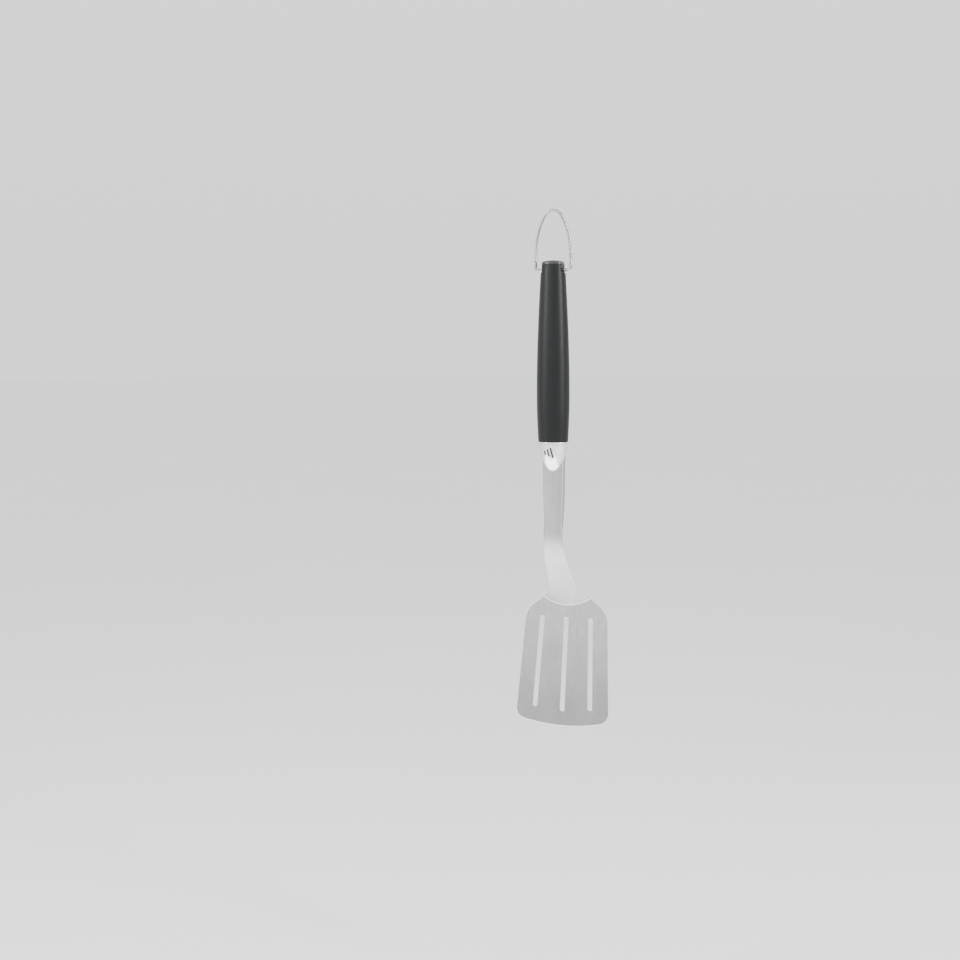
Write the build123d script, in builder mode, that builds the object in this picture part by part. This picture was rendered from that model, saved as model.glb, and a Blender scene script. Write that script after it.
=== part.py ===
from build123d import *
import os
from math import atan2, cos, degrees, pi, radians, sin, sqrt, tan

os.makedirs("parts", exist_ok=True)

# Grill spatula, hanging straight down from its wire loop. Millimetres.
# Origin: the inside of the loop's arch, where a hook carries it.
# +Z up along the handle, -Y towards the top face of the blade, X across.

# ---- Wire loop ----
wire_d = 3.0
loop_reach = 55.8           # pivot to the top of the wire's centre line
loop_foot_half = 17.7       # half the distance between the legs, at the pivot
leg_lean = 2.5              # degrees from upright, inwards
arch_lean = 30.0            # degrees from upright where the arch begins
foot_bend = 3.8             # radius of the bends that turn the ends inwards
leg_bend = 62.0
arch_bend = 9.5
pivot_z = wire_d / 2 - loop_reach

# ---- Handle ----
grip_length = 171.7         # domed end to the bolster
pivot_below_top = 9.4
grip_top_half = 11.4        # half widths: at the end, at the belly, at the bolster
grip_belly_half = 15.95
grip_seam_half = 14.5
belly_at = 0.74             # where the belly is, as a share of the length
grip_flatness = 0.86        # depth over width
sleeve_wall = 1.5
recess_half = 9.75          # half the width between the two side recesses
recess_ramp = 3.0           # width of the ramp that closes each recess
recess_fall = 0.7           # drop of the ramp per unit of width
recess_clearance = 0.35     # wire to the floor of the recess
cap_height = 4.2
cap_dome = 2.0
stem_d = 7.0
stem_length = 7.5
grip_top = pivot_z + pivot_below_top
seam_z = grip_top - grip_length
cap_seat_z = grip_top - cap_height

# ---- Loop in the handle ----
pivot_clearance = 0.075     # radial, so that the loop swings
wire_in_core = 4.0          # how deep each end sits behind the recess wall
bore_extra = 0.5            # room past the end of the wire

# ---- Sheet: shank, neck and blade ----
sheet = 1.5
face_y = -2.0               # front of the shank beside the handle
shank_top_half = 11.0
waist_half = 9.6
neck_half = 13.9
shoulder_half = 42.0
tip_half = 47.9
waist_corner = 150.0        # corner radii
neck_corner = 8.0
shoulder_corner = 22.0
tip_corner = 10.0
shank_straight = 85.4       # bolster seam to the start of the bend
shank_slope = 38.0          # degrees back from upright
shank_slope_length = 55.7
shank_bend = 60.0
crown_radius = 56.0         # the shank's front is slightly round across
blade_tilt = 9.0            # degrees forward from upright
blade_length = 119.5        # crease to the middle of the tip
tip_sagitta = 6.3
shoulder_fall = 0.72        # drop of the shoulder line per unit of width
waist_below_seam = 101.4
neck_above_crease = 15.0
channel_depth = 7.0
channel_full = 42.0         # length of the channel at full depth
channel_fade = 43.0         # length over which it fades out

# ---- Slots in the blade ----
slot_width = 4.5
slot_below_crease = 12.0    # crease to the upper ends
slot_above_tip = 14.0
slot_pitch_top = 25.1
slot_pitch_tip = 28.4
slot_side_lift = 2.8        # the outer slots end higher

# ---- Tang and pins ----
tang_width = 12.0
tang_thickness = 3.0
tang_in_channel = 42.0      # below the bolster seam
tang_in_grip = 116.0
tang_chamfer = 3.0
pin_d = 4.0
pin_stations = (32.0, 88.0)  # above the bolster seam
end_gap = 0.4               # room above the tang in the core

# ---- Bolster ----
nose_length = 29.4          # seam to the end of the nose
nose_half = 5.8             # how blunt the end is: the outline leaves it level to this width
flank_half = 11.9          # the flank closes towards this point
flank_drop = 19.3
spigot_half = 8.0           # oval neck that centres the bolster in the core
spigot_height = 6.0
shank_in_bolster = 5.4

# ---- Room for cutting ----
far = 200.0                 # further than any part reaches
past = 1.0                  # how far a cutter passes the face that it opens
body_stations = 8           # spans between the ovals of the handle's body

# Places that follow from the sizes above.
bend_rise = shank_bend * sin(radians(shank_slope))
bend_back = shank_bend * (1 - cos(radians(shank_slope)))
crease_y = face_y + bend_back + shank_slope_length * sin(radians(shank_slope))
crease_z = (seam_z - shank_straight - bend_rise
            - shank_slope_length * cos(radians(shank_slope)))
tip_z = crease_z - blade_length * cos(radians(blade_tilt))
shank_top_z = seam_z - shank_in_bolster
recess_floor_z = pivot_z - wire_d / 2 - recess_clearance


def grip_half(z):
    """Half width of the handle at a height: a sine swells it to the belly, a cosine closes it."""
    share = (grip_top - z) / grip_length
    if share < belly_at:
        return grip_top_half + (grip_belly_half - grip_top_half) * sin(pi / 2 * share / belly_at)
    closing = (share - belly_at) / (1 - belly_at)
    return grip_seam_half + (grip_belly_half - grip_seam_half) * cos(pi / 2 * closing)


def grip_stock(low_z, high_z, inset, stations):
    """The handle's oval body between two heights, smaller all round by inset."""
    with BuildPart() as stock:
        for i in range(stations + 1):
            z = low_z + (high_z - low_z) * i / stations
            half = grip_half(z)
            with BuildSketch(Plane.XY.offset(z)):
                Ellipse(half - inset, half * grip_flatness - inset)
        loft()
    return stock.part


def shank_stock(inset):
    """A solid behind the front of the shank, set back by inset. It runs on past the crease."""
    half_span = 40.0
    depth = 30.0
    past_crease = 15.0
    slope = radians(shank_slope)
    run = shank_bend * tan(slope / 2) + shank_slope_length + past_crease
    corner_z = seam_z - shank_straight - shank_bend * tan(slope / 2)
    centre_y = face_y + crown_radius
    edge_y = centre_y - sqrt((crown_radius - inset) ** 2 - half_span ** 2)
    with BuildPart() as stock:
        with BuildLine(Plane.YZ):
            FilletPolyline(
                (face_y, shank_top_z),
                (face_y, corner_z),
                (face_y + run * sin(slope), corner_z - run * cos(slope)),
                radius=shank_bend,
            )
        with BuildSketch(Plane.XY.offset(shank_top_z)):
            with BuildLine():
                ThreePointArc((-half_span, edge_y), (0, face_y + inset), (half_span, edge_y))
                Polyline(
                    (half_span, edge_y),
                    (half_span, face_y + depth),
                    (-half_span, face_y + depth),
                    (-half_span, edge_y),
                )
            make_face()
        sweep()
    return stock.part


def blade_stock(inset):
    """A slab behind the top face of the blade, set back by inset, from above the crease to the tip."""
    above_crease = 16.0
    past_tip = 5.0
    depth = 60.0
    half_span = 60.0
    face = Plane(
        origin=(0, crease_y, crease_z),
        x_dir=(1, 0, 0),
        z_dir=(0, cos(radians(blade_tilt)), -sin(radians(blade_tilt))),
    )
    with BuildPart() as stock:
        with BuildSketch(face.offset(inset)):
            with Locations((0, (blade_length + past_tip - above_crease) / 2)):
                Rectangle(2 * half_span, blade_length + past_tip + above_crease)
        extrude(amount=depth - inset)
    return stock.part


def sheet_stock(inset):
    """Everything behind the sheet's front face, set back by inset."""
    with BuildPart() as stock:
        add(shank_stock(inset))
        add(blade_stock(inset))
    return stock.part


def front_outline(inset):
    """Sketch of the shank and blade seen from the front, narrower each side by inset."""
    neck_z = crease_z + neck_above_crease
    side = [
        (shank_top_half - inset, shank_top_z),
        (waist_half - inset, seam_z - waist_below_seam),
        (neck_half - inset, neck_z),
        (shoulder_half - inset, neck_z - (shoulder_half - neck_half) * shoulder_fall),
        (tip_half - inset, tip_z + tip_sagitta),
    ]
    corners = [waist_corner, neck_corner, shoulder_corner]
    with BuildSketch(Plane.XZ) as outline:
        with BuildLine():
            FilletPolyline(*side, radius=corners)
            FilletPolyline(*[(-x, z) for x, z in side], radius=corners)
            Line((-side[0][0], shank_top_z), side[0])
            ThreePointArc((-side[-1][0], side[-1][1]), (0, tip_z), side[-1])
        make_face()
        fillet(outline.vertices().group_by(Axis.Y)[0], tip_corner)
    return outline.sketch


def slot_ends(side):
    """Centres of a slot's upper and lower round ends, seen from the front. Side is -1, 0 or 1."""
    radius = slot_width / 2
    upper = (side * slot_pitch_top, crease_z - slot_below_crease - radius)
    lower = (side * slot_pitch_tip, tip_z + slot_above_tip + abs(side) * slot_side_lift + radius)
    return upper, lower


# ---- Sheet stamping: blade, neck and shank ----
outer_stock = sheet_stock(0)
inner_stock = sheet_stock(sheet)
outline = front_outline(0)
inner_outline = front_outline(sheet)

with BuildPart() as flanges:
    with BuildSketch(Plane.YZ):
        with BuildLine():
            Polyline(
                (face_y - past, shank_top_z),
                (face_y + channel_depth, shank_top_z),
                (face_y + channel_depth, shank_top_z - channel_full),
                (face_y + sheet, shank_top_z - channel_full - channel_fade),
                (face_y - past, shank_top_z - channel_full - channel_fade),
                close=True,
            )
        make_face()
    extrude(amount=shank_top_half, both=True)
    with BuildSketch(Plane.XZ):
        add(inner_outline)
    extrude(amount=far, both=True, mode=Mode.SUBTRACT)

with BuildPart() as blade_shank:
    add(outer_stock)
    add(inner_stock, mode=Mode.SUBTRACT)
    add(flanges.part)
    add(outer_stock, mode=Mode.INTERSECT)
    with BuildSketch(Plane.XZ):
        add(outline)
    extrude(amount=far, both=True, mode=Mode.INTERSECT)
    with BuildSketch(Plane.XZ):
        for side in (-1, 0, 1):
            upper, lower = slot_ends(side)
            rise = upper[1] - lower[1]
            lean = upper[0] - lower[0]
            with Locations(((upper[0] + lower[0]) / 2, (upper[1] + lower[1]) / 2)):
                SlotCenterToCenter(
                    sqrt(rise**2 + lean**2), slot_width, rotation=degrees(atan2(rise, lean))
                )
    extrude(amount=far, both=True, mode=Mode.SUBTRACT)

blade_shank.part.label = "blade_shank"
export_step(blade_shank.part, "parts/blade_shank.step")

# ---- Tang: a bar welded into the channel, up through the bolster into the core ----
tang_low = seam_z - tang_in_channel
tang_high = seam_z + tang_in_grip
tang_y = face_y + sheet + tang_thickness / 2

with BuildPart() as tang_bar:
    with BuildSketch(Plane.XZ.offset(-tang_y)):
        with Locations((0, (tang_low + tang_high) / 2)):
            Rectangle(tang_width, tang_high - tang_low)
    extrude(amount=tang_thickness / 2, both=True)
    chamfer(tang_bar.edges().filter_by(Axis.Y).group_by(Axis.Z)[-1], tang_chamfer)
    add(blade_shank.part, mode=Mode.SUBTRACT)
    with BuildSketch(Plane.XZ):
        with Locations(*[(0, seam_z + station) for station in pin_stations]):
            Circle(pin_d / 2)
    extrude(amount=far, both=True, mode=Mode.SUBTRACT)

tang_bar.part.label = "tang_bar"
export_step(tang_bar.part, "parts/tang_bar.step")

# ---- Bolster: cast steel, an oval nose that the shank comes out of ----
with BuildPart() as bolster:
    with BuildSketch(Plane.XZ):
        with BuildLine():
            Bezier(
                (0, seam_z - nose_length),
                (nose_half, seam_z - nose_length),
                (flank_half, seam_z - flank_drop),
                (grip_seam_half, seam_z),
            )
            Polyline((grip_seam_half, seam_z), (0, seam_z), (0, seam_z - nose_length))
        make_face()
    revolve(axis=Axis.Z)
    with BuildSketch(Plane.XY.offset(seam_z)):
        Circle(spigot_half)
    extrude(amount=spigot_height)
    scale(by=(1, grip_flatness, 1))
    add(blade_shank.part, mode=Mode.SUBTRACT)
    add(tang_bar.part, mode=Mode.SUBTRACT)

bolster.part.label = "bolster"
export_step(bolster.part, "parts/bolster.step")

# ---- Handle: rigid core, soft sleeve and end cap share one oval body ----
core_body = grip_stock(seam_z, cap_seat_z, sleeve_wall, body_stations)

with BuildPart() as recesses:
    with BuildSketch(Plane.XZ):
        with BuildLine():
            Polyline(
                (recess_half, grip_top + past),
                (recess_half, recess_floor_z),
                (recess_half + recess_ramp, recess_floor_z - recess_ramp * recess_fall),
                (grip_belly_half, recess_floor_z - recess_ramp * recess_fall),
                (grip_belly_half, grip_top + past),
                close=True,
            )
        make_face()
    extrude(amount=far, both=True)
    mirror(about=Plane.YZ)

with BuildPart() as grip_core:
    add(core_body)
    add(recesses.part, mode=Mode.SUBTRACT)
    with BuildSketch(Plane.XZ.offset(-tang_y)):
        with Locations((0, (seam_z + tang_high + end_gap) / 2)):
            Rectangle(tang_width, tang_high + end_gap - seam_z)
    extrude(amount=tang_thickness / 2, both=True, mode=Mode.SUBTRACT)
    with BuildSketch(Plane.XY.offset(seam_z)):
        Ellipse(spigot_half, spigot_half * grip_flatness)
    extrude(amount=spigot_height, mode=Mode.SUBTRACT)
    with BuildSketch(Plane.XZ):
        with Locations(*[(0, seam_z + station) for station in pin_stations]):
            Circle(pin_d / 2)
    extrude(amount=far, both=True, mode=Mode.SUBTRACT)
    with BuildSketch(Plane.XY.offset(cap_seat_z)):
        Circle(stem_d / 2)
    extrude(amount=-stem_length, mode=Mode.SUBTRACT)
    for side in (-1, 1):
        with BuildSketch(Plane.YZ.offset(side * recess_half)):
            with Locations((0, pivot_z)):
                Circle(wire_d / 2 + pivot_clearance)
        extrude(amount=-side * (wire_in_core + bore_extra), mode=Mode.SUBTRACT)

grip_core.part.label = "grip_core"
export_step(grip_core.part, "parts/grip_core.step")

with BuildPart() as grip_sleeve:
    add(grip_stock(seam_z, cap_seat_z, 0, body_stations))
    add(core_body, mode=Mode.SUBTRACT)
    add(recesses.part, mode=Mode.SUBTRACT)

grip_sleeve.part.label = "grip_sleeve"
export_step(grip_sleeve.part, "parts/grip_sleeve.step")

dome_half = grip_half(cap_seat_z)
dome_radius = (dome_half**2 + cap_dome**2) / (2 * cap_dome)

with BuildPart() as end_cap:
    add(grip_stock(cap_seat_z, grip_top, 0, 1))
    with Locations((0, 0, grip_top - dome_radius)):
        Sphere(dome_radius, mode=Mode.INTERSECT)
    add(recesses.part, mode=Mode.SUBTRACT)
    with BuildSketch(Plane.XY.offset(cap_seat_z)):
        Circle(stem_d / 2)
    extrude(amount=-stem_length)

end_cap.part.label = "end_cap"
export_step(end_cap.part, "parts/end_cap.step")

# ---- Two pins across the core and the tang, under the sleeve ----
with BuildPart() as tang_pins:
    with BuildSketch(Plane.XZ):
        with Locations(*[(0, seam_z + station) for station in pin_stations]):
            Circle(pin_d / 2)
    extrude(amount=far, both=True)
    add(core_body, mode=Mode.INTERSECT)

tang_pins.part.label = "tang_pins"
export_step(tang_pins.part, "parts/tang_pins.step")

# ---- Wire loop: one wire, its two ends turned in to the bores ----
apex_z = pivot_z + loop_reach
arch_corner_z = apex_z - arch_bend + arch_bend / sin(radians(arch_lean))
leg_run = tan(radians(leg_lean))
arch_run = tan(radians(arch_lean))
knee_rise = (loop_foot_half - (arch_corner_z - pivot_z) * arch_run) / (leg_run - arch_run)
knee_half = loop_foot_half - knee_rise * leg_run
wire_end = recess_half - wire_in_core

with BuildPart() as bail:
    with BuildLine(Plane.XZ) as wire_path:
        FilletPolyline(
            (-wire_end, pivot_z),
            (-loop_foot_half, pivot_z),
            (-knee_half, pivot_z + knee_rise),
            (0, arch_corner_z),
            (knee_half, pivot_z + knee_rise),
            (loop_foot_half, pivot_z),
            (wire_end, pivot_z),
            radius=[foot_bend, leg_bend, arch_bend, leg_bend, foot_bend],
        )
    with BuildSketch(Plane.YZ.offset(-wire_end)):
        with Locations((0, pivot_z)):
            Circle(wire_d / 2)
    sweep()

bail.part.label = "bail"
export_step(bail.part, "parts/bail.step")
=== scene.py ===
import bpy
import numpy as np
from math import cos, pi, radians, sin, tan
from mathutils import Matrix, Vector


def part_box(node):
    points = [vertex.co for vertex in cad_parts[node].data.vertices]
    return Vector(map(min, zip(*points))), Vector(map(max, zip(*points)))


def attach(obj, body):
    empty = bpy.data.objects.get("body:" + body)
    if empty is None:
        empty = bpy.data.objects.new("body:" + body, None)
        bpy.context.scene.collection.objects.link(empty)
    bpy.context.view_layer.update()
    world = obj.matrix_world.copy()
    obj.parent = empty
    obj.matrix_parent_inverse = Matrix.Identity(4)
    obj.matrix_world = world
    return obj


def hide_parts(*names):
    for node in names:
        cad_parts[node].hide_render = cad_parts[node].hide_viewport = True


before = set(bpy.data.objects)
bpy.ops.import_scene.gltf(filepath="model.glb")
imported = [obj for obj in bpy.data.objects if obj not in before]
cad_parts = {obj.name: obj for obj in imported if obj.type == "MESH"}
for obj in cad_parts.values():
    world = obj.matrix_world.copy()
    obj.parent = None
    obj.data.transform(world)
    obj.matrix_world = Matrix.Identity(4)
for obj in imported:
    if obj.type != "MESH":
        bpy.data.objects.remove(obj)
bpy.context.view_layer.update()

# ---- Blade and shank ----
# One stamping of 1.5 mm stainless sheet. The blade is flat with three slots, the crease above it
# is pressed, and the shank is crowned, with its edges turned back where it enters the bolster.
mm = 0.001
sheet = 1.5 * mm
blade_low, blade_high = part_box("blade_shank")
face_y = blade_low.y
shank_top_z = blade_high.z
tip_z = blade_low.z
slope = radians(38.0)
tilt = radians(9.0)
bend_radius = 60.0 * mm
bend_z = shank_top_z - 80.0 * mm
slope_length = 55.7 * mm
crown_radius = 56.0 * mm
crown_reach = 40.0 * mm
crease_round = 1.0 * mm
crease_y = face_y + bend_radius * (1 - cos(slope)) + slope_length * sin(slope)
crease_z = bend_z - bend_radius * sin(slope) - slope_length * cos(slope)
edge_round = 0.3 * mm

# The edges of the shank start to turn back at channel_foot_z and are full walls from
# channel_full_z up. Out to flat_share of the half width the sheet keeps its crown, and past
# corner_share it is the wall.
channel_foot_z = crease_z + 62 * mm
channel_full_z = crease_z + 122 * mm
channel_depth = 7.0 * mm
channel_corner = 1.8 * mm
flat_share = 0.6
corner_share = 0.85


def rounded_path(points, radii, arc_points=12):
    """A line through points with each inner corner replaced by an arc of its radius."""
    points = np.asarray(points, float)
    runs = [points[:1]]
    for before, corner, after, radius in zip(points, points[1:], points[2:], radii):
        into = (corner - before) / np.linalg.norm(corner - before)
        out = (after - corner) / np.linalg.norm(after - corner)
        turn = np.arctan2(into[0] * out[1] - into[1] * out[0], into @ out)
        start = corner - into * radius * abs(tan(turn / 2))
        angles = np.linspace(0, abs(turn), arc_points)[:, None]
        side = np.sign(turn) * np.array([-into[1], into[0]])
        runs.append(start + radius * (np.sin(angles) * into + (1 - np.cos(angles)) * side))
    runs.append(points[-1:])
    return np.vstack(runs)


def inward(path, distance):
    """The path moved to its right-hand side by distance, along its own normals."""
    along = np.gradient(path, axis=0)
    along /= np.linalg.norm(along, axis=1)[:, None]
    return path + distance * np.stack([along[:, 1], -along[:, 0]], axis=1)


def ease(value, low, high):
    """0 at low, 1 at high, and a smooth cubic between. Low may be the larger of the two."""
    share = np.clip((value - low) / (high - low), 0, 1)
    return share * share * (3 - 2 * share)


# The right-hand outline from the bolster down to the curved tip, seen from the front. Each of
# its four corners becomes an arc of corner_points points.
corner_points = 25
shank_top_half = 11.0 * mm
waist_half = 9.6 * mm
waist_z = shank_top_z - 96 * mm
neck_half = 13.9 * mm
neck_z = crease_z + 15 * mm
waist_bend = 150 * mm
neck_bend = 8 * mm
shoulder_bend = 22 * mm
tip_bend = 10 * mm
shoulder_half = 42.0 * mm
shoulder_fall = 0.72
shoulder_z = neck_z - (shoulder_half - neck_half) * shoulder_fall
tip_half = 47.9 * mm
tip_rise = 6.3 * mm
tip_radius = (tip_half**2 + tip_rise**2) / (2 * tip_rise)
leg_x = tip_half - 9 * mm
leg_z = tip_z + tip_radius - (tip_radius**2 - leg_x**2) ** 0.5
outline_side = inward(
    rounded_path(
        [
            (shank_top_half, shank_top_z),
            (waist_half, waist_z),
            (neck_half, neck_z),
            (shoulder_half, shoulder_z),
            (tip_half, tip_z + tip_rise),
            (leg_x, leg_z),
        ],
        [waist_bend, neck_bend, shoulder_bend, tip_bend],
        corner_points,
    ),
    edge_round,
)


def outline_half(z):
    """Half the width of the sheet's flat face at a height, from the right-hand outline."""
    return np.interp(z, outline_side[::-1, 1], outline_side[::-1, 0])


def shank_y(z):
    """Front of the shank on its middle line: straight, then an arc, then a straight slope."""
    drop = np.maximum(bend_z - z, 0)
    in_bend = np.minimum(drop, bend_radius * sin(slope))
    curve = bend_radius - np.sqrt(bend_radius**2 - in_bend**2)
    return face_y + curve + (drop - in_bend) * tan(slope)


def crown(x):
    """How far the rounded front of the shank lies behind its middle line."""
    x = np.minimum(np.abs(x), crown_reach)
    return crown_radius - np.sqrt(crown_radius**2 - x**2)


def soft_min(a, b, width):
    """The smaller of two heights, rounded over width where they cross."""
    mix = np.clip(0.5 + (b - a) / (2 * width), 0, 1)
    return b + (a - b) * mix - width * mix * (1 - mix)


def front_of_sheet(across, z):
    """
    The sheet's front face. Across is the share of the half width, -1 to 1. The shank is a crowned
    strip on a bent middle line, the blade is a plane, and the nearer of the two is the face.
    Near the bolster the outer part of the strip is rolled back into a channel wall.
    """
    half = outline_half(z)
    share = np.abs(across)
    channel = ease(z, channel_foot_z, channel_full_z)
    rolled = np.clip((share - flat_share) / (corner_share - flat_share), 0, 1) * pi / 2
    down_wall = np.clip((share - corner_share) / (1 - corner_share), 0, 1)
    channel_x = (half - channel_corner) * np.minimum(share / flat_share, 1)
    channel_x = channel_x + channel_corner * np.sin(rolled)
    channel_y = channel_corner * (1 - np.cos(rolled))
    channel_y = channel_y + (channel_depth - edge_round - channel_corner) * down_wall
    x = np.sign(across) * (channel * channel_x + (1 - channel) * half * share)
    slope_here = np.arcsin(np.clip((bend_z - z) / bend_radius, 0, sin(slope)))
    strip = shank_y(z) + crown(x) / np.cos(slope_here)
    plane = crease_y - tan(tilt) * (crease_z - z)
    y = soft_min(strip, plane, crease_round) + channel * channel_y
    return np.stack([x, y, z], axis=-1)


def unit(vectors):
    """Each vector divided by its own length."""
    return vectors / np.linalg.norm(vectors, axis=-1, keepdims=True)


# Three slots with round ends, each from an upper to a lower middle. The flat face ends where
# the rounded edge starts, so the slots are wider by that. The outer two are shorter at the tip.
slot_half = 2.25 * mm + edge_round
slot_top_z = crease_z - 14.25 * mm
slot_low_z = tip_z + 16.25 * mm + np.array([2.8, 0.0, 2.8]) * mm
slot_top_x = np.array([-25.1, 0.0, 25.1]) * mm
slot_low_x = np.array([-28.4, 0.0, 28.4]) * mm

strip_share = np.array([0, 0.03, 0.1, 0.2, 0.3, 0.4, 0.5, 0.6, 0.7, 0.8, 0.9, 0.97, 1])
strip_cells = len(strip_share) - 1
apex_share = slot_top_x[2] / outline_half(slot_top_z + slot_half)
posts = np.array([-1, -apex_share, 0, apex_share, 1])
column_share = np.concatenate(
    [posts[i] + (posts[i + 1] - posts[i]) * strip_share[:-1] for i in range(4)] + [[1.0]]
)

# Upper part: from the bolster to the tops of the slots, its rows bent to follow the crease.
fine_rows_z = crease_z + 22 * mm
row_z = np.concatenate(
    [
        np.linspace(shank_top_z, bend_z, 40)[:-1],
        np.linspace(bend_z, fine_rows_z, 44)[:-1],
        np.linspace(fine_rows_z, slot_top_z + slot_half, 50),
    ]
)
bent_rows_z = crease_z + 45 * mm
bent_reach = 24 * mm
across, level = np.meshgrid(column_share, row_z)
reach = np.minimum(np.abs(outline_half(level) * across), bent_reach)
follow = ease(level, bent_rows_z, crease_z) * ease(level, slot_top_z + slot_half, crease_z)
level = level + follow * crown(reach) / (cos(slope) * (tan(slope) + tan(tilt)))
upper = front_of_sheet(across, level)
step_down = 0.05 * mm
step_aside = 0.002
along = front_of_sheet(across, level - step_down) - front_of_sheet(across, level + step_down)
aside = front_of_sheet(across + step_aside, level) - front_of_sheet(across - step_aside, level)
upper_back = unit(np.cross(aside, along))


def on_blade(x, z):
    """Points of the blade's flat front face at places seen from the front."""
    return np.stack([x, crease_y - tan(tilt) * (crease_z - z), z], axis=-1)


# Beside the slots: four strips. A slot's half width grows and closes as a circle at its ends.
quarter = np.linspace(0, pi / 2, 8)
slot_share = np.linspace(0, 1, 30)[1:-1]
slot_z = np.stack(
    [
        np.concatenate(
            [
                slot_top_z + slot_half * np.cos(quarter),
                slot_top_z + (low - slot_top_z) * slot_share,
                low - slot_half * np.sin(quarter),
            ]
        )
        for low in slot_low_z
    ]
)
slot_open = np.concatenate(
    [slot_half * np.sin(quarter), np.full(len(slot_share), slot_half), slot_half * np.cos(quarter)]
)
slot_x = np.stack(
    [
        np.interp(-slot_z[k], [-slot_top_z, -slot_low_z[k]], [slot_top_x[k], slot_low_x[k]])
        for k in range(3)
    ]
)
outline_x = outline_half(slot_z[0])
sides = [
    (-outline_x, slot_z[0], slot_x[0] - slot_open, slot_z[0]),
    (slot_x[0] + slot_open, slot_z[0], slot_x[1] - slot_open, slot_z[1]),
    (slot_x[1] + slot_open, slot_z[1], slot_x[2] - slot_open, slot_z[2]),
    (slot_x[2] + slot_open, slot_z[2], outline_x, slot_z[2]),
]
strips = [
    on_blade(
        x0[:, None] + (x1 - x0)[:, None] * strip_share,
        z0[:, None] + (z1 - z0)[:, None] * strip_share,
    )
    for x0, z0, x1, z1 in sides
]

# Below the slots: the rows turn from the slots' ends to the curved tip and its round corners.
row_share = np.array([0, 0.12, 0.26, 0.42, 0.58, 0.74, 0.87, 0.95, 1])[:, None]
# The tip's corner is the outline's fourth arc, after its first point and three other arcs.
corner_middle = 1 + 3 * corner_points + corner_points // 2
corner_end = 4 * corner_points
length = np.concatenate([[0], np.cumsum(np.linalg.norm(np.diff(outline_side, axis=0), axis=1))])
side_start = np.interp(-slot_z[0, -1], -outline_side[:, 1], length)
side_walk = side_start + (length[corner_middle] - side_start) * row_share
rail_right = np.concatenate(
    [np.interp(side_walk, length, outline_side[:, i]) for i in range(2)], axis=1
)
tip_arc_x = np.linspace(0, outline_side[corner_end, 0], 60)[:-1]
inner_radius = tip_radius - edge_round
tip_path = np.vstack(
    [
        np.stack([tip_arc_x, tip_z + tip_radius - np.sqrt(inner_radius**2 - tip_arc_x**2)], axis=1),
        outline_side[corner_end : corner_middle - 1 : -1],
    ]
)
tip_length = np.concatenate([[0], np.cumsum(np.linalg.norm(np.diff(tip_path, axis=0), axis=1))])
rail_x = 29.0 * mm
rail_walk = np.interp(rail_x, tip_path[:, 0], tip_length)


def tip_points(start, end):
    """Points along the tip between two distances from its middle, spaced as the strips are."""
    walk = start + (end - start) * strip_share
    return np.stack([np.interp(walk, tip_length, tip_path[:, i]) for i in range(2)], axis=1)


def left(points):
    """The same points on the left-hand side, in the order from left to right."""
    return points[::-1] * [-1, 1]


tip_rows = [tip_points(rail_walk, tip_length[-1]), tip_points(0, rail_walk)]
tip_rows = [left(tip_rows[0]), left(tip_rows[1]), tip_rows[1], tip_rows[0]]
slot_ends = np.stack([slot_x[:, -1], slot_z[:, -1]], axis=1)
rail_feet = [tip_rows[1][0], tip_rows[2][0], tip_rows[3][0]]
rails = [rail_right * [-1, 1]]
rails += [end + (foot - end) * row_share for end, foot in zip(slot_ends, rail_feet)]
rails += [rail_right]
lower_strips = []
for i, tip_row in enumerate(tip_rows):
    ruled = rails[i][:, None] + (rails[i + 1] - rails[i])[:, None] * strip_share[:, None]
    lower_strips.append(ruled + row_share[:, :, None] ** 2 * (tip_row - ruled[-1]))
last_column = lower_strips[3][:, -1:]
lower_plan = np.concatenate([part[:, :-1] for part in lower_strips] + [last_column], axis=1)
lower = on_blade(lower_plan[..., 0], lower_plan[..., 1])

# Corner numbers: the strips share their first and last rows with the parts above and below.
columns = 4 * strip_cells + 1
upper_ids = np.arange(upper.shape[0] * columns).reshape(-1, columns)
lower_ids = upper_ids.size + np.arange(lower.shape[0] * columns).reshape(-1, columns)
points = [upper.reshape(-1, 3), lower.reshape(-1, 3)]
strip_ids = []
used = upper_ids.size + lower_ids.size
for i, strip in enumerate(strips):
    here = slice(i * strip_cells, (i + 1) * strip_cells + 1)
    inner = strip[1:-1]
    inner_ids = used + np.arange(inner.shape[0] * inner.shape[1]).reshape(inner.shape[:2])
    used += inner_ids.size
    points.append(inner.reshape(-1, 3))
    strip_ids.append(np.vstack([upper_ids[-1, here], inner_ids, lower_ids[0, here]]))
front = np.vstack(points)
back_way = np.tile([0, cos(tilt), -sin(tilt)], (len(front), 1))
back_way[: upper_ids.size] = upper_back.reshape(-1, 3)


def grid_faces(ids):
    """Four corner numbers for each cell of a grid of numbers, wound down and then to the right."""
    return np.stack([ids[:-1, :-1], ids[1:, :-1], ids[1:, 1:], ids[:-1, 1:]], axis=-1).reshape(-1, 4)


def ring_faces(rings):
    """Faces between rows of numbers that each close on themselves."""
    return grid_faces(np.hstack([rings, rings[:, :1]]))


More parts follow.
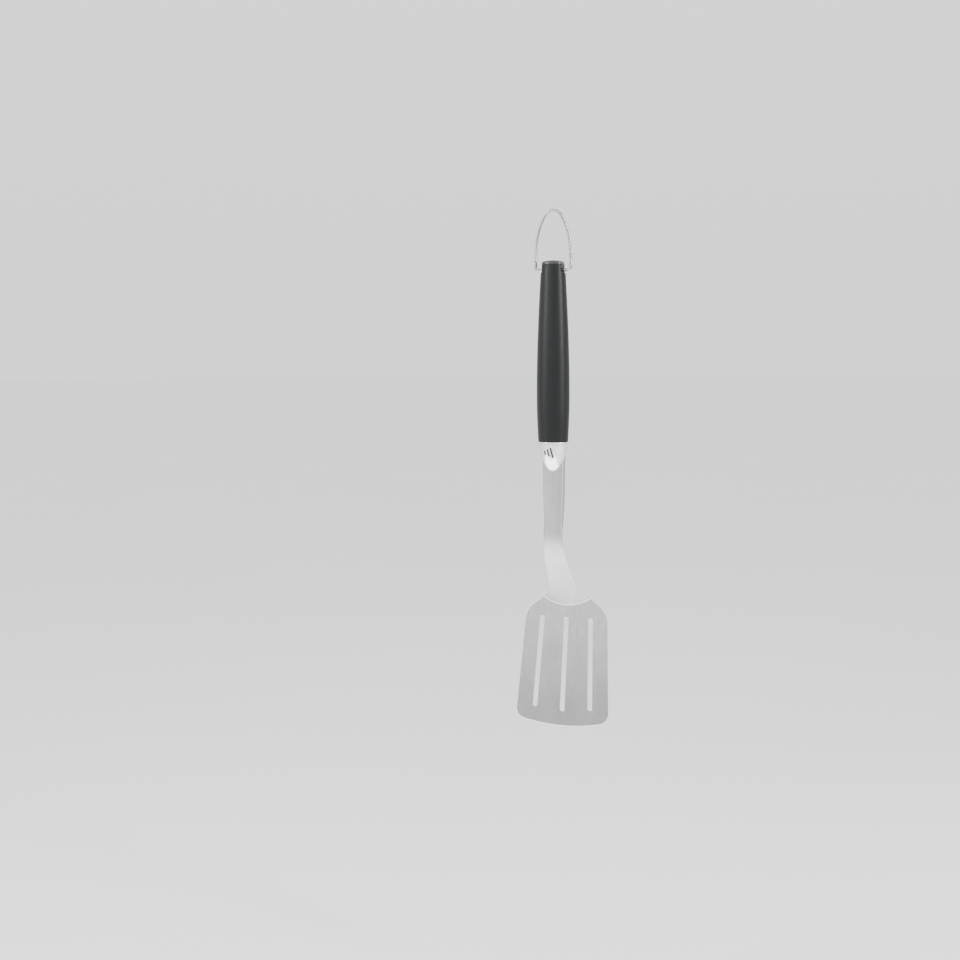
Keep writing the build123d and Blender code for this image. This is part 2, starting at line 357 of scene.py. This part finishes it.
front_faces = np.vstack([grid_faces(ids) for ids in [upper_ids, lower_ids, *strip_ids]])
outer_loop = np.concatenate(
    [
        upper_ids[:-1, 0],
        strip_ids[0][:-1, 0],
        lower_ids[:-1, 0],
        lower_ids[-1, :-1],
        lower_ids[:0:-1, -1],
        strip_ids[3][:0:-1, -1],
        upper_ids[:0:-1, -1],
        upper_ids[0, :0:-1],
    ]
)
slot_loops = [
    np.concatenate([strip_ids[k][:0:-1, -1], strip_ids[k + 1][:-1, 0]]) for k in range(3)
]
sheet_points = [front, front + sheet * back_way]
sheet_faces = [front_faces, front_faces[:, ::-1] + len(front)]
filled = 2 * len(front)
round_turn = np.linspace(0, pi / 2, 5)
rim_out = edge_round * np.concatenate([np.sin(round_turn[1:]), np.cos(round_turn[:-1])])
rim_back = np.concatenate(
    [edge_round * (1 - np.cos(round_turn[1:])), sheet - edge_round * (1 - np.sin(round_turn[:-1]))]
)
for loop in [outer_loop, *slot_loops]:
    middle = front[loop]
    walk = unit(np.roll(middle, -1, axis=0) - np.roll(middle, 1, axis=0))
    out = np.cross(back_way[loop], walk)
    rim = middle + rim_out[:, None, None] * out + rim_back[:, None, None] * back_way[loop]
    rim_ids = filled + np.arange(rim.shape[0] * rim.shape[1]).reshape(rim.shape[:2])
    filled += rim_ids.size
    sheet_points.append(rim.reshape(-1, 3))
    sheet_faces.append(ring_faces(np.vstack([loop, rim_ids, loop + len(front)])))


def make_piece(name, points, faces, body, slot, *nodes):
    """A smooth mesh object that rides on a body and stands for the CAD nodes named last."""
    mesh = bpy.data.meshes.new(name)
    corners = [face for part in faces for face in part.tolist()]
    mesh.from_pydata(np.vstack(points).tolist(), [], corners)
    mesh.shade_smooth()
    piece = bpy.data.objects.new(name, mesh)
    bpy.context.scene.collection.objects.link(piece)
    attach(piece, body)
    if nodes:
        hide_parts(*nodes)
    return piece


blade = make_piece("slotted_blade", sheet_points, sheet_faces, "tool", "blade_sheet", "blade_shank")
rim_mask = blade.data.attributes.new("rim", "FLOAT", "POINT")
rim_mask.data.foreach_set("value", (np.arange(filled) >= 2 * len(front)).astype(np.float32))


class Value:
    """What a shader node puts out. A sum, difference or product of values adds its Math node."""

    def __init__(self, finish, node, output=0):
        self.finish = finish
        self.node = node
        self.output = output

    def __getitem__(self, name):
        return Value(self.finish, self.node, name)

    def maths(self, operation, *numbers):
        return self.finish.add("ShaderNodeMath", {"operation": operation}, dict(enumerate(numbers)))

    def __add__(self, other):
        return self.maths("ADD", self, other)

    def __sub__(self, other):
        return self.maths("SUBTRACT", self, other)

    def __rsub__(self, other):
        return self.maths("SUBTRACT", other, self)

    def __mul__(self, other):
        return self.maths("MULTIPLY", self, other)

    __radd__ = __add__
    __rmul__ = __mul__


class Nodes:
    """An empty node tree, and the ways to fill it."""

    def __init__(self, owner):
        owner.use_nodes = True
        self.tree = owner.node_tree
        self.tree.nodes.clear()
        self.coordinates = self.add("ShaderNodeTexCoord")

    def feed(self, node, inputs):
        """Links values to a node's sockets, or sets them. Three numbers in a colour get alpha 1."""
        for key, value in inputs.items():
            socket = node.inputs[key]
            if isinstance(value, Value):
                self.tree.links.new(value.node.outputs[value.output], socket)
            elif socket.type == "RGBA":
                socket.default_value = (*value, 1)
            else:
                socket.default_value = value

    def add(self, kind, settings=None, inputs=None):
        """One node from its type, its settings, and the values or numbers of its sockets."""
        node = self.tree.nodes.new(kind)
        for key, value in (settings or {}).items():
            setattr(node, key, value)
        self.feed(node, inputs or {})
        return Value(self, node)

    def noise(self, cells, detail=3.0, roughness=0.5, place=None):
        """Smooth noise from 0 to 1, with cells per metre along each axis."""
        spread = {"Vector": place or self.coordinates["Object"], "Scale": cells}
        inputs = {"Scale": 1.0, "Detail": detail, "Roughness": roughness}
        inputs["Vector"] = self.add("ShaderNodeMapping", None, spread)
        return self.add("ShaderNodeTexNoise", None, inputs)

    def between(self, value, low, high):
        """0 at low, 1 at high, and a smooth step between. Low may be the larger of the two."""
        limits = {"Value": value, "From Min": low, "From Max": high}
        return self.add("ShaderNodeMapRange", {"interpolation_type": "SMOOTHSTEP"}, limits)

    def mix(self, share, first, second):
        """A colour that fades from the first to the second."""
        node = self.add("ShaderNodeMix", {"data_type": "RGBA"}, {0: share, 6: first, 7: second})
        return Value(self, node.node, 2)


class Finish(Nodes):
    """A material around one Principled surface, whose fixed numbers are given at the start."""

    def __init__(self, name, fixed):
        self.material = bpy.data.materials.new(name)
        super().__init__(self.material)
        self.surface = self.add("ShaderNodeBsdfPrincipled", None, fixed)
        self.add("ShaderNodeOutputMaterial", None, {"Surface": self.surface})

    def relief(self, height, depth):
        """A normal from a height of 0 to 1 that stands for depth metres."""
        return self.add("ShaderNodeBump", None, {"Height": height, "Distance": depth})

    def split_place(self):
        """The point on the piece, split into its X, Y and Z."""
        return self.add("ShaderNodeSeparateXYZ", None, {"Vector": self.coordinates["Object"]})

    def wear(self, **inputs):
        """Feeds the surface. An underscore in a name stands for a space."""
        named = {key.replace("_", " "): value for key, value in inputs.items()}
        self.feed(self.surface.node, named)

    def put_on(self, *pieces):
        """Fills every material slot of the pieces with this finish."""
        for piece in pieces:
            if not piece.material_slots:
                piece.data.materials.append(self.material)
            for slot in piece.material_slots:
                slot.material = self.material


# Satin sheet: fine brushing and longer streaks along its length, a soft mottle, a few hair
# scratches, a painted shade that darkens it towards the tip, and a smoother edge where the
# stamping was tumbled, its colour lightened by a painted highlight.
satin = Finish("satin_sheet", {"Metallic": 1.0})
brushing = satin.noise((2600, 2600, 25), 4)
mottle = satin.noise((45, 45, 30), 4, 0.6)
scratch = satin.between(satin.noise((240, 240, 1100), 2), 0.66, 0.70)
# The rim mask lightens the sheet's colour at its edges as a painted highlight, and also makes them
# smoother.
rim_polish_and_highlight = satin.add("ShaderNodeAttribute", {"attribute_name": "rim"})["Fac"]
streaks = satin.noise((650, 650, 9), 3)
steel_tone = satin.mix(
    streaks * 0.4 + brushing * 0.25 + mottle * 0.35, (0.27, 0.27, 0.265), (0.55, 0.55, 0.54)
)
# Painted shade: the blade's colour darkens from just below the crease down to the tip.
tip_shade_top_z = crease_z + 8 * mm
painted_tip_shade = satin.between(satin.split_place()["Z"] + mottle * 12 * mm, tip_shade_top_z, tip_z)
shaded_tone = satin.mix(painted_tip_shade * 0.55, steel_tone, (0.18, 0.18, 0.178))
satin.wear(
    Base_Color=satin.mix(rim_polish_and_highlight, shaded_tone, (0.72, 0.72, 0.71)),
    Roughness=0.27 + brushing * 0.10 + streaks * 0.08 + mottle * 0.06 + scratch * 0.03 - rim_polish_and_highlight * 0.1,
    Normal=satin.relief(brushing * 0.5 + streaks * 0.3 + scratch * 0.2, 0.014 * mm),
)
satin.put_on(blade)

# ---- Tang and its welds ----
# A 12 x 3 mm bar of mild steel laid in the channel behind the shank, held by two fillet welds,
# and run up through the bolster into the grip.
tang_low, tang_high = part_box("tang_bar")
tang_corner = 0.6 * mm


def ring_surface(rings):
    """
    Points and faces of a tube through closed rings, each a row of points. The first and last
    ring are closed by a fan to their middle. Faces point outwards when the rings run down and
    each goes counterclockwise seen from above.
    """
    rows, around = rings.shape[:2]
    ids = np.arange(rows * around).reshape(rows, around)
    poles = np.stack([rings[0].mean(axis=0), rings[-1].mean(axis=0)])
    top, foot = np.full(around, ids.size), np.full(around, ids.size + 1)
    fans = [
        np.stack([top, ids[0], np.roll(ids[0], -1)], axis=1),
        np.stack([foot, np.roll(ids[-1], -1), ids[-1]], axis=1),
    ]
    return [rings.reshape(-1, 3), poles], [ring_faces(ids), *fans]


def end_rounding(radius, steps=6):
    """From a flat end to a side: how far a quarter circle lies inside, and how far below."""
    turn = np.linspace(0, pi / 2, steps)
    return radius * (1 - np.sin(turn)), radius * (1 - np.cos(turn))


# The bar's section is an oblong with quarter circles at its corners, carried down its length.
bar_half = (tang_high - tang_low) / 2
corner_turn = np.linspace(0, pi / 2, 7)
bar_turn = np.concatenate([corner_turn + k * pi / 2 for k in range(4)])
side_x = np.repeat([1, -1, -1, 1], len(corner_turn))
side_y = np.repeat([1, 1, -1, -1], len(corner_turn))
tang_end_round = tang_corner - 0.1 * mm
bar_inset, bar_below = end_rounding(tang_end_round)
bar_round = tang_corner - np.concatenate([bar_inset, bar_inset[::-1]])[:, None]
bar_x = side_x * (bar_half.x - tang_corner) + bar_round * np.cos(bar_turn)
bar_y = tang_high.y - bar_half.y + side_y * (bar_half.y - tang_corner) + bar_round * np.sin(bar_turn)
bar_z = np.concatenate([tang_high.z - bar_below, tang_low.z + bar_below[::-1]])
bar_rings = np.stack([bar_x, bar_y, bar_z[:, None] + 0 * bar_x], axis=-1)
tang = make_piece("tang", *ring_surface(bar_rings), "tool", "tang_steel", "tang_bar")

# Each weld is a round bead sunk into the corner of bar and sheet. Its radius closes at both ends
# and swells in ripples, one for each dip of the rod.
weld_length = 12 * mm
weld_foot_z = tang_low.z + 2.5 * mm
weld_radius = 1.5 * mm
weld_ripples = 9
weld_lift = 0.3 * mm
weld_dip = 0.92
weld_swell = 0.12
weld_run = np.linspace(0, 1, 121)[1:-1, None]
weld_turn = np.linspace(0, 2 * pi, 25)[:-1]
weld_reach = weld_radius * np.sqrt(1 - np.abs(2 * weld_run - 1) ** 10)
weld_reach = weld_reach * (weld_dip + weld_swell * np.abs(np.sin(weld_ripples * pi * weld_run)))
welds = []
for name, side in [("weld_left", -1), ("weld_right", 1)]:
    bead_x = side * bar_half.x + weld_reach * np.cos(weld_turn)
    bead_y = face_y + sheet + weld_lift + weld_reach * np.sin(weld_turn)
    bead_z = weld_foot_z + weld_length * (1 - weld_run) + 0 * bead_x
    bead = np.stack([bead_x, bead_y, bead_z], axis=-1)
    welds.append(make_piece(name, *ring_surface(bead), "tool", "tang_steel"))

# Mill finish: rolled streaks along the bar, grey scale, and straw and blue heat tint at the welds.
mill = Finish("mill_steel", {"Metallic": 1.0})
rolled_in = mill.noise((900, 900, 40), 4)
scale_spots = mill.noise((260, 260, 160), 4, 0.65)
tint_edge = mill.split_place()["Z"] + scale_spots * 2 * mm
heated = mill.between(tint_edge, tang_low.z + 24 * mm, tang_low.z + 16 * mm)
blued = mill.between(tint_edge, tang_low.z + 18 * mm, tang_low.z + 13 * mm)
bare = mill.mix(rolled_in * 0.4 + scale_spots * 0.6, (0.30, 0.30, 0.30), (0.56, 0.56, 0.55))
tinted = mill.mix(heated * 0.45, bare, (0.42, 0.34, 0.22))
mill.wear(
    Base_Color=mill.mix(blued * 0.5, tinted, (0.20, 0.22, 0.27)),
    Roughness=0.34 + scale_spots * 0.22,
    Normal=mill.relief(rolled_in * 0.5 + scale_spots * 0.5, 0.03 * mm),
)
mill.put_on(tang, *welds)

# ---- Bolster ----
# Cast stainless nose, polished bright. The shank and the tang run up into it, and its oval top
# closes against the grip. A small pad-printed mark of three plain bars sits on its front.
bolster_low, bolster_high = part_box("bolster")
sleeve_low, sleeve_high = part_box("grip_sleeve")
seam_z = sleeve_low.z
nose_z = bolster_low.z
seam_half = bolster_high.x
flatness = bolster_high.y / bolster_high.x
seam_round = 0.3 * mm
oval_turn = np.linspace(0, 2 * pi, 145)[:-1]


def oval_rings(half, z):
    """One oval ring for each half width and height: x = half cos, y = flatness half sin."""
    half, z = half[:, None], z[:, None]
    x, y = half * np.cos(oval_turn), half * flatness * np.sin(oval_turn)
    return np.stack([x, y, z + 0 * x], axis=-1)


# The outline is a cubic Bezier curve from the tip of the nose, level there, up to the seam.
tip_pull = 5.8 * mm
flank_half = 11.9 * mm
flank_drop = 19.3 * mm
nose_steps = np.linspace(0.985, 0.012, 70)
bezier = np.stack(
    [
        (1 - nose_steps) ** 3,
        3 * (1 - nose_steps) ** 2 * nose_steps,
        3 * (1 - nose_steps) * nose_steps**2,
        nose_steps**3,
    ],
    axis=1,
)
nose_half = bezier @ np.array([0, tip_pull, flank_half, seam_half])
nose_height = bezier @ np.array([nose_z, nose_z, seam_z - flank_drop, seam_z])
seam_inset, seam_below = end_rounding(seam_round)
bolster_rings = oval_rings(
    np.concatenate([seam_half - seam_inset, nose_half]),
    np.concatenate([seam_z - seam_below, nose_height]),
)
nose = make_piece("bolster_nose", *ring_surface(bolster_rings), "tool", "bolster_steel", "bolster")

# Bright polish: near-mirror steel, buffing lines round it, fine wipe marks, and smudges.
polish = Finish("polished_steel", {"Metallic": 1.0})
buffing = polish.noise((60, 60, 1800), 4)
wipes = polish.between(polish.noise((700, 500, 60), 2), 0.64, 0.70)
smudge = polish.between(polish.noise((110, 110, 90), 3), 0.40, 0.75)
apart = polish.split_place()
mark_edge = 0.15 * mm


def printed_bar(x, z, half_x, half_z, lean):
    """1 inside one short bar of the mark on the front, and 0 outside it."""
    aside = apart["X"] - x + (apart["Z"] - z) * lean
    in_x = polish.between(aside.maths("ABSOLUTE", aside), half_x, half_x - mark_edge)
    up = apart["Z"] - z
    in_z = polish.between(up.maths("ABSOLUTE", up), half_z, half_z - mark_edge)
    front_only = polish.between(apart["Y"], -1.0 * mm, -2.0 * mm)
    return in_x * in_z * front_only


mark_x = -1.6 * mm
mark_z = seam_z - 10.0 * mm
bar_spacing = 3.4 * mm
bar_half_width = 1.1 * mm
bar_lean = 0.2
mark = (
    printed_bar(mark_x - bar_spacing, mark_z, bar_half_width, 2.2 * mm, bar_lean)
    + printed_bar(mark_x, mark_z, bar_half_width, 3.6 * mm, bar_lean)
    + printed_bar(mark_x + bar_spacing, mark_z, bar_half_width, 5.0 * mm, bar_lean)
)
bright = polish.mix(smudge * 0.6 + buffing * 0.4, (0.86, 0.86, 0.855), (0.76, 0.76, 0.755))
polish.wear(
    Base_Color=polish.mix(mark, bright, (0.02, 0.02, 0.021)),
    Metallic=1 - mark,
    Roughness=0.13 + buffing * 0.05 + smudge * 0.09 + wipes * 0.03 + mark * 0.3,
    Normal=polish.relief(buffing * 0.6 + wipes * 0.4, 0.004 * mm),
)
polish.put_on(nose)

# ---- Grip ----
# Soft black skin moulded over a rigid core. It swells towards the bolster, its sides are cut
# flat near the top where the wire swings, and each bore for the wire has a low moulded collar.
cap_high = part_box("end_cap")[1]
wire_low, wire_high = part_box("bail")
wire_radius = wire_high.y
pivot_z = wire_low.z + wire_radius
grip_top_z = cap_high.z
cap_seat_z = sleeve_high.z
grip_length = grip_top_z - seam_z
grip_top_half = 11.4 * mm
grip_belly_half = 15.95 * mm
belly_at = 0.74
skin_proud = 0.04 * mm
recess_clearance = 0.35 * mm
recess_half = cap_high.x + skin_proud
recess_floor_z = wire_low.z - recess_clearance + skin_proud
recess_fall = 0.7
recess_round = 0.7 * mm
grip_edge_round = 0.45 * mm

# The points of a ring crowd towards its two sides, where the recesses are.
even_turn = np.linspace(0, 2 * pi, 217)[:-1]
crowding = 0.35
grip_turn = even_turn - crowding * np.sin(2 * even_turn)


def grip_half(z):
    """Half width of the handle: a sine swells it to the belly, a cosine closes it to the seam."""
    share = (grip_top_z - z) / grip_length
    swell = np.sin(pi / 2 * np.clip(share / belly_at, 0, 1))
    close = np.cos(pi / 2 * np.clip((share - belly_at) / (1 - belly_at), 0, 1))
    upper_half = grip_top_half + (grip_belly_half - grip_top_half) * swell
    lower_half = seam_half + (grip_belly_half - seam_half) * close
    return np.where(share < belly_at, upper_half, lower_half)


def side_limit(z):
    """How far out the sides may reach: flat above the recess floor, then a ramp outwards."""
    return recess_half + np.maximum(recess_floor_z - z, 0) / recess_fall


def grip_rings(z, inset):
    """Oval rings whose sides are clamped to the recess, drawn in by inset."""
    half = grip_half(z)
    wide = (half - inset) * np.cos(grip_turn)
    deep = (half * flatness - inset) * np.sin(grip_turn)
    held = np.sign(wide) * soft_min(np.abs(wide), side_limit(z) - inset, recess_round)
    return np.stack([held, deep, z + 0 * wide], axis=-1)


sleeve_inset, sleeve_below = end_rounding(grip_edge_round)
fine_top_z = cap_seat_z - 0.6 * mm
fine_low_z = recess_floor_z - 2.6 * mm
fine_z = np.linspace(fine_top_z, fine_low_z, 52)
sleeve_z = np.concatenate(
    [
        cap_seat_z - sleeve_below,
        fine_z,
        np.linspace(fine_z[-1], seam_z + grip_edge_round, 82)[1:-1],
        (seam_z + sleeve_below)[::-1],
    ]
)[:, None]
sleeve_draw = np.zeros_like(sleeve_z)
sleeve_draw[: len(sleeve_inset), 0] = sleeve_inset
sleeve_draw[-len(sleeve_inset) :, 0] = sleeve_inset[::-1]
sleeve_rings = grip_rings(sleeve_z, sleeve_draw)

# A collar round each bore: a ring that stands off the flat side and rounds off both ways.
collar_height = 0.4 * mm
collar_inner_foot = 1.55 * mm
collar_inner_top = 1.95 * mm
collar_outer_top = 2.25 * mm
collar_outer_foot = 2.75 * mm
from_pivot = np.hypot(sleeve_rings[..., 1], sleeve_rings[..., 2] - pivot_z)
collar = ease(from_pivot, collar_inner_foot, collar_inner_top)
collar = collar * ease(from_pivot, collar_outer_foot, collar_outer_top)
sleeve_rings[..., 0] += np.sign(sleeve_rings[..., 0]) * collar_height * collar
grip = make_piece("soft_grip", *ring_surface(sleeve_rings), "tool", "grip_rubber", "grip_sleeve")

# Soft-touch skin: fine moulded grain, cloudy dulling, and a smoother belly where hands hold it.
soft = Finish("soft_grip_skin", {"IOR": 1.5, "Specular IOR Level": 0.22})
grain = soft.noise((4200, 4200, 4200), 2)
pores = soft.noise((1500, 1500, 1500), 2)
cloud = soft.noise((38, 38, 16), 4, 0.6)
handled = soft.between(soft.noise((70, 70, 30), 3), 0.45, 0.75)
soft.wear(
    Base_Color=soft.mix(cloud * 0.7 + grain * 0.3, (0.0032, 0.0034, 0.0036), (0.007, 0.0074, 0.0078)),
    Roughness=0.33 + cloud * 0.10 - handled * 0.05 + grain * 0.04,
    Normal=soft.relief(grain * 0.6 + pores * 0.4, 0.035 * mm),
)
soft.put_on(grip)

# The core and the two pins are under the skin: glass-filled moulding, and turned steel.
moulding = Finish("core_moulding", {"IOR": 1.5})
fibres = moulding.noise((1200, 1200, 150), 3)
flow = moulding.noise((90, 90, 25), 3)
moulding.wear(
    Base_Color=moulding.mix(flow, (0.025, 0.026, 0.028), (0.045, 0.046, 0.048)),
    Roughness=0.5 + fibres * 0.15,
    Normal=moulding.relief(fibres, 0.02 * mm),
)
moulding.put_on(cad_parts["grip_core"])
turned = Finish("turned_steel", {"Metallic": 1.0})
tool_marks = turned.noise((200, 4000, 200), 3)
turned.wear(
    Base_Color=turned.mix(tool_marks, (0.50, 0.50, 0.50), (0.66, 0.66, 0.65)),
    Roughness=0.25 + tool_marks * 0.15,
    Normal=turned.relief(tool_marks, 0.01 * mm),
)
turned.put_on(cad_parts["tang_pins"])

# ---- End cap ----
# Harder black plastic, snapped into the core. Its flat sides carry on the grip's, its edge is
# well rounded, and its top is slightly domed.
cap_edge = 1.5 * mm
cap_foot = 0.25 * mm
cap_dome = 2.0 * mm
cap_half = float(grip_half(cap_seat_z))
edge_share = 1 - cap_edge / cap_half
edge_turn = np.linspace(0, pi / 2, 12)
foot_inset, foot_below = end_rounding(cap_foot)
dome_share = np.linspace(0.05, edge_share, 14)[:-1]
round_share = edge_share + (1 - edge_share) * np.sin(edge_turn)
side_down = np.array([0.3, 0.6, 0.9])[:, None]
cap_share = np.concatenate(
    [dome_share, round_share, np.ones(len(side_down)), 1 - foot_inset[::-1] / cap_half]
)
cap_ring = grip_rings(np.full((1, 1), cap_seat_z), 0.0)
cap_flat = cap_ring[..., :2] * cap_share[:, None, None]

# Its heights: the dome falls with the square of the distance from the middle, the rounded edge
# adds a quarter circle, and then come the side and the rounded foot.
top_flat = cap_flat[: len(dome_share) + len(round_share)]
top_z = grip_top_z - cap_dome * (np.hypot(top_flat[..., 0], top_flat[..., 1]) / cap_half) ** 2
top_z[len(dome_share) :] -= cap_edge * (1 - np.cos(edge_turn))[:, None]
side_z = top_z[-1] + (cap_seat_z + cap_foot - top_z[-1]) * side_down
foot_z = cap_seat_z + foot_below[::-1, None] + 0 * top_z[-1]
cap_z = np.vstack([top_z, side_z, foot_z])
cap_rings = np.concatenate([cap_flat, cap_z[..., None]], axis=-1)
cap = make_piece("domed_cap", *ring_surface(cap_rings), "tool", "cap_plastic", "end_cap")

# Moulded gloss, softened by handling: flow marks, faint scuffs, and a very fine eroded texture.
gloss = Finish("cap_plastic", {"IOR": 1.5})
flow_marks = gloss.noise((120, 120, 60), 3)
scuffs = gloss.between(gloss.noise((300, 900, 300), 2), 0.62, 0.70)
eroded = gloss.noise((5200, 5200, 5200), 2)
gloss.wear(
    Base_Color=gloss.mix(flow_marks, (0.010, 0.0105, 0.011), (0.020, 0.021, 0.022)),
    Roughness=0.26 + flow_marks * 0.10 + scuffs * 0.12,
    Normal=gloss.relief(eroded * 0.7 + scuffs * 0.3, 0.012 * mm),
)
gloss.put_on(cap)

# ---- Wire hanger ----
# One length of 3 mm stainless wire, bent to a pointed arch. Its two ends turn in and sit in the
# bores of the core, so that it swings.
apex_z = wire_high.z - wire_radius
loop_foot_half = 17.7 * mm
foot_bend = 3.8 * mm
leg_bend = 62 * mm
arch_bend = 9.5 * mm
leg_lean = radians(2.5)
arch_lean = radians(30.0)
leg_run, arch_run = tan(leg_lean), tan(arch_lean)
arch_corner_z = apex_z - arch_bend + arch_bend / sin(arch_lean)
knee_rise = (loop_foot_half - (arch_corner_z - pivot_z) * arch_run) / (leg_run - arch_run)
knee_half = loop_foot_half - knee_rise * leg_run
wire_end = 5.75 * mm
sheared = 0.5 * mm
right_half = [(wire_end, pivot_z), (loop_foot_half, pivot_z), (knee_half, pivot_z + knee_rise)]
wire_line = rounded_path(
    [(-x, z) for x, z in right_half] + [(0, arch_corner_z)] + right_half[::-1],
    [foot_bend, leg_bend, arch_bend, leg_bend, foot_bend],
    22,
)
wire_walk = np.concatenate([[0], np.cumsum(np.linalg.norm(np.diff(wire_line, axis=0), axis=1))])
wire_stations = np.unique(np.concatenate([wire_walk, np.linspace(0, wire_walk[-1], 220)]))
wire_line = np.stack([np.interp(wire_stations, wire_walk, wire_line[:, i]) for i in range(2)], axis=1)

# A circle carried along the line. Each end is drawn in to a shallow cone, as sheared wire is.
wire_along = unit(np.gradient(wire_line, wire_stations, axis=0))
wire_out = np.stack([wire_along[:, 1], 0 * wire_stations, -wire_along[:, 0]], axis=1)
wire_turn = np.linspace(0, 2 * pi, 33)[:-1]
wire_section = wire_radius * np.ones(len(wire_stations))
wire_section[[0, -1]] -= sheared
circle_out = np.cos(wire_turn)[:, None] * wire_out[:, None]
circle_deep = np.sin(wire_turn)[:, None] * np.array([0, -1, 0])
wire_middle = np.stack([wire_line[:, 0], 0 * wire_stations, wire_line[:, 1]], axis=1)
wire_rings = wire_middle[:, None] + wire_section[:, None, None] * (circle_out + circle_deep)
hanger = make_piece("wire_hanger", *ring_surface(wire_rings), "hanger", "wire_steel", "bail")

# The wire laid out straight, so that its die lines follow every bend.
straight = np.stack(
    [
        wire_radius * np.cos(wire_turn) + 0 * wire_stations[:, None],
        wire_radius * np.sin(wire_turn) + 0 * wire_stations[:, None],
        wire_stations[:, None] + 0 * wire_turn,
    ],
    axis=-1,
).reshape(-1, 3)
straight = np.vstack([straight, [[0, 0, 0], [0, 0, wire_stations[-1]]]])
laid_out = hanger.data.attributes.new("laid_out", "FLOAT_VECTOR", "POINT")
laid_out.data.foreach_set("vector", straight.astype(np.float32).ravel())

# Drawn wire: mid-grey steel with die lines along it, small nicks, and duller, darker patches.
drawn = Finish("drawn_wire", {"Metallic": 1.0})
line_place = drawn.add("ShaderNodeAttribute", {"attribute_name": "laid_out"})["Vector"]
die_lines = drawn.noise((3200, 3200, 30), 3, 0.5, line_place)
nicks = drawn.between(drawn.noise((500, 500, 260), 2, 0.5, line_place), 0.66, 0.72)
dull = drawn.noise((80, 80, 60), 3, 0.5, line_place)
drawn.wear(
    Base_Color=drawn.mix(dull * 0.6 + die_lines * 0.4, (0.42, 0.42, 0.415), (0.26, 0.26, 0.255)),
    Roughness=0.17 + dull * 0.10 + die_lines * 0.06 + nicks * 0.15,
    Normal=drawn.relief(die_lines * 0.6 + nicks * 0.4, 0.003 * mm),
)
drawn.put_on(hanger)

# ---- Studio ----
# A pale floor and surround, a tall soft light on each side, a wide one in front, one that shines
# up from the floor, and a sun. The camera looks slightly down, from the spatula's right towards
# its left.
floor_z = -0.80
floor_turn = np.linspace(0, 2 * pi, 97)[:-1]
floor_reach = np.array([0.5, 2, 6, 14, 30])[:, None]
floor_x, floor_y = floor_reach * np.cos(floor_turn), floor_reach * np.sin(floor_turn)
floor_points = np.stack([floor_x, floor_y, floor_z + 0 * floor_x], axis=-1).reshape(-1, 3)
floor_ids = np.arange(len(floor_points)).reshape(-1, len(floor_turn))
floor_mesh = bpy.data.meshes.new("floor")
floor_mesh.from_pydata(
    floor_points.tolist(), [], ring_faces(floor_ids).tolist() + [floor_ids[0].tolist()]
)
floor = bpy.data.objects.new("floor", floor_mesh)
bpy.context.scene.collection.objects.link(floor)
paper = Finish("pale_floor", {"Roughness": 0.9, "Specular IOR Level": 0.1})
pulp = paper.noise((1.5, 1.5, 1.5), 3)
paper.wear(Base_Color=paper.mix(pulp, (0.76, 0.76, 0.76), (0.80, 0.80, 0.80)))
paper.put_on(floor)

# The surround is nearly even: only a little brighter above the horizon.
world = bpy.data.worlds.new("studio")
bpy.context.scene.world = world
sky = Nodes(world)
sky_way = sky.add("ShaderNodeSeparateXYZ", None, {"Vector": sky.coordinates["Generated"]})
rise = sky.between(sky_way["Z"], 0.0, 0.35)
level_strength = 1.45
added_above = 0.12
sky_light = {"Color": (0.98, 0.99, 1.0), "Strength": level_strength + rise * added_above}
surround = sky.add("ShaderNodeBackground", None, sky_light)
sky.add("ShaderNodeOutputWorld", None, {"Surface": surround})

camera_place = Vector((0.400, -1.260, -0.125))
camera_heading = Vector((-0.3527, 0.9357, 0))
camera_pitch = radians(5.54)
object_middle = Vector((0, 0, -0.25))


def soft_light(name, place, turn, wide, tall, watts):
    """A flat light that lights the pieces and is not itself seen by the camera."""
    lamp = bpy.data.lights.new(name, "AREA")
    lamp.shape = "RECTANGLE"
    lamp.size = wide
    lamp.size_y = tall
    lamp.energy = watts
    light = bpy.data.objects.new(name, lamp)
    light.rotation_euler = turn
    light.location = place
    light.visible_camera = False
    bpy.context.scene.collection.objects.link(light)


def facing_light(name, degrees_round, distance, height, **size_and_power):
    """A soft light that faces the object, turned round it from the camera's own direction."""
    away = Matrix.Rotation(radians(degrees_round), 3, "Z") @ -camera_heading.normalized()
    place = object_middle + away * distance + Vector((0, 0, height))
    turn = (object_middle - place).to_track_quat("-Z", "Y").to_euler()
    soft_light(name, place, turn, **size_and_power)


facing_light("right_strip", 52, distance=1.5, height=0.79, wide=0.20, tall=1.3, watts=38)
facing_light("left_strip", -68, distance=1.5, height=0.79, wide=0.16, tall=1.3, watts=24)
facing_light("front_card", -41, distance=1.6, height=0.85, wide=1.3, tall=0.9, watts=9)
low_place = (-0.25, -0.22, floor_z + 0.02)
soft_light("low_front", low_place, (pi, 0, 0), wide=1.4, tall=1.0, watts=13)

overhead = bpy.data.objects.new("overhead", bpy.data.lights.new("overhead", "SUN"))
overhead.data.energy = 0.7
overhead.data.angle = radians(60)
overhead.rotation_euler = (radians(12), radians(8), 0)
bpy.context.scene.collection.objects.link(overhead)

lens = bpy.data.cameras.new("camera")
lens.lens = 51.9
lens.sensor_width = 36.0
camera = bpy.data.objects.new("camera", lens)
camera.location = camera_place
look = camera_heading.normalized() * cos(camera_pitch) - Vector((0, 0, sin(camera_pitch)))
camera_roll = Matrix.Rotation(radians(-0.3), 3, "Z")
camera.rotation_euler = (look.to_track_quat("-Z", "Y").to_matrix() @ camera_roll).to_euler()
bpy.context.scene.collection.objects.link(camera)
bpy.context.scene.camera = camera
